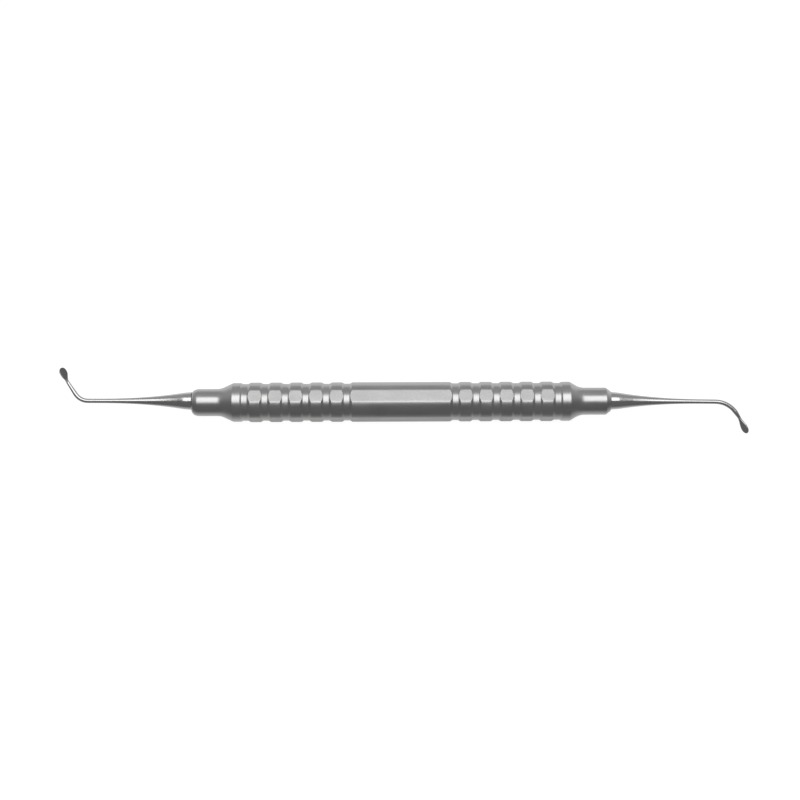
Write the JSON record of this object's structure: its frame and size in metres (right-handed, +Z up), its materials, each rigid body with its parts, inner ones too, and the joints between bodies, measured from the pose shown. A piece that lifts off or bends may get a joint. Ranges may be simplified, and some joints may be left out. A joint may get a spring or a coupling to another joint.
{
  "type": "tunneling curette",
  "caption": "Slim double-ended surgical hand instrument: grooved and flatted steel grip, turned necks, and a thin bent shank with a small spoon blade at each end.",
  "frame": {"origin": "centre of the flat on the underside of the grip, at the middle of its length", "axes": "+X along the instrument to the end whose blade points to -Y, +Y to the side that the other blade points to, +Z up from the flat"},
  "size_m": [0.1738, 0.0161, 0.0099],
  "materials": {
    "grip_steel": "satin",
    "blade_steel": "polished"
  },
  "bodies": {
    "root": {"grip_tube": "grip_steel", "end_plug_left": "grip_steel", "end_plug_right": "grip_steel", "working_end_left": "blade_steel", "working_end_right": "blade_steel"}
  },
  "joints": []
}
